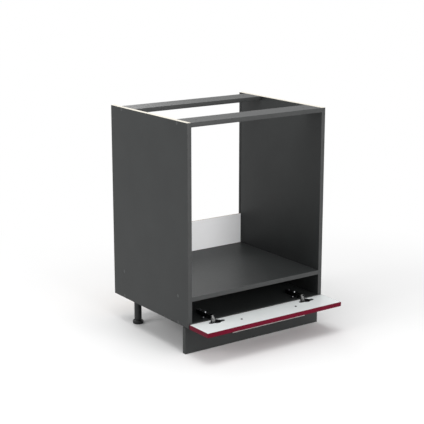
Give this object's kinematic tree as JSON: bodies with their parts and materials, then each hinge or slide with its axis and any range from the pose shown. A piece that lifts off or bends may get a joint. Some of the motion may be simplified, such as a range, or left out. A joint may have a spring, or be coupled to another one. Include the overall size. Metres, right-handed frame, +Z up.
{
  "type": "oven base cabinet",
  "caption": "Kitchen base cabinet for a built-in oven: open carcass on adjustable legs, low compartment closed by a hinged flap with a bar handle.",
  "frame": {"origin": "middle of the bounding box on the floor, flap open", "axes": "+Z up, front faces -Y, +X to the right seen from the front"},
  "size_m": [0.6, 0.615, 0.82],
  "materials": {
    "board_grey": "melamine-faced chipboard, anthracite, fine matt grain",
    "band_grey": "matt edge band, a little lighter than the boards",
    "cap_grey": "matt cover cap",
    "back_white": "thin white-lacquered fibreboard, satin",
    "flap_white": "white melamine, satin",
    "gloss_red": "high-gloss bordeaux laminate",
    "steel": "satin stainless steel",
    "screw_steel": "zinc-plated steel",
    "hinge_black": "black nickel-like coat, satin",
    "hinge_grey": "bare pressed steel",
    "plastic_black": "moulded black plastic, matt",
    "beech": "raw beech"
  },
  "bodies": {
    "carcass": {"left_side": "board_grey", "right_side": "board_grey", "bottom_panel": "board_grey", "oven_shelf": "board_grey", "front_rail": "board_grey", "back_rail": "board_grey", "plinth_panel": "board_grey", "side_edge_bands": "band_grey", "board_edge_bands": "band_grey", "back_panel": "back_white", "back_panel_nails": "screw_steel", "carcass_screws": "screw_steel", "plinth_clip_screws": "screw_steel", "leg_socket_screws": "screw_steel", "hinge_wing_screws": "screw_steel", "hinge_arm_screws": "screw_steel", "hinge_arm_pins": "screw_steel", "screw_caps": "cap_grey", "dowels": "beech", "plinth_clip_left": "plastic_black", "plinth_clip_right": "plastic_black", "leg_socket_front_left": "plastic_black", "leg_socket_front_right": "plastic_black", "leg_socket_back_left": "plastic_black", "leg_socket_back_right": "plastic_black", "leg_tube_front_left": "plastic_black", "leg_tube_front_right": "plastic_black", "leg_tube_back_left": "plastic_black", "leg_tube_back_right": "plastic_black", "hinge_plate_left": "hinge_black", "hinge_plate_right": "hinge_black", "hinge_arm_left": "hinge_black", "hinge_arm_right": "hinge_black"},
    "flap": {"flap_panel": "flap_white", "flap_front_sheet": "gloss_red", "flap_edge_bands": "gloss_red", "handle_bar": "steel", "handle_posts": "steel", "handle_screws": "hinge_black", "hinge_cup_left": "hinge_black", "hinge_cup_right": "hinge_black", "hinge_cup_screws": "hinge_black"},
    "outer_links": {"outer_link_left": "hinge_grey", "outer_link_right": "hinge_grey"},
    "inner_links": {"inner_link_left": "hinge_grey", "inner_link_right": "hinge_grey"},
    "foot_front_left": {"foot_front_left": "plastic_black"},
    "foot_front_right": {"foot_front_right": "plastic_black"},
    "foot_back_left": {"foot_back_left": "plastic_black"},
    "foot_back_right": {"foot_back_right": "plastic_black"}
  },
  "joints": [
    {"name": "flap_swing", "type": "hinge", "parent": "carcass", "child": "flap", "pos_m": [0, -0.20375, 0.10675], "axis": [-1, 0, 0], "range_deg": [0, 90]},
    {"name": "outer_link_swing", "type": "hinge", "parent": "carcass", "child": "outer_links", "pos_m": [0, -0.2002, 0.1244], "axis": [-1, 0, 0], "range_deg": [-19.2, 0]},
    {"name": "inner_link_swing", "type": "hinge", "parent": "carcass", "child": "inner_links", "pos_m": [0, -0.1972, 0.1309], "axis": [-1, 0, 0], "range_deg": [-33.4, 0]},
    {"name": "foot_front_left_height", "type": "slide", "parent": "carcass", "child": "foot_front_left", "axis": [0, 0, -1], "range_m": [-0.004, 0.02]},
    {"name": "foot_front_right_height", "type": "slide", "parent": "carcass", "child": "foot_front_right", "axis": [0, 0, -1], "range_m": [-0.004, 0.02]},
    {"name": "foot_back_left_height", "type": "slide", "parent": "carcass", "child": "foot_back_left", "axis": [0, 0, -1], "range_m": [-0.004, 0.02]},
    {"name": "foot_back_right_height", "type": "slide", "parent": "carcass", "child": "foot_back_right", "axis": [0, 0, -1], "range_m": [-0.004, 0.02]}
  ],
  "couplings": [
    {"joint": "outer_link_swing", "follows": "flap_swing", "ratio": -0.2082},
    {"joint": "inner_link_swing", "follows": "flap_swing", "ratio": -0.3653}
  ]
}
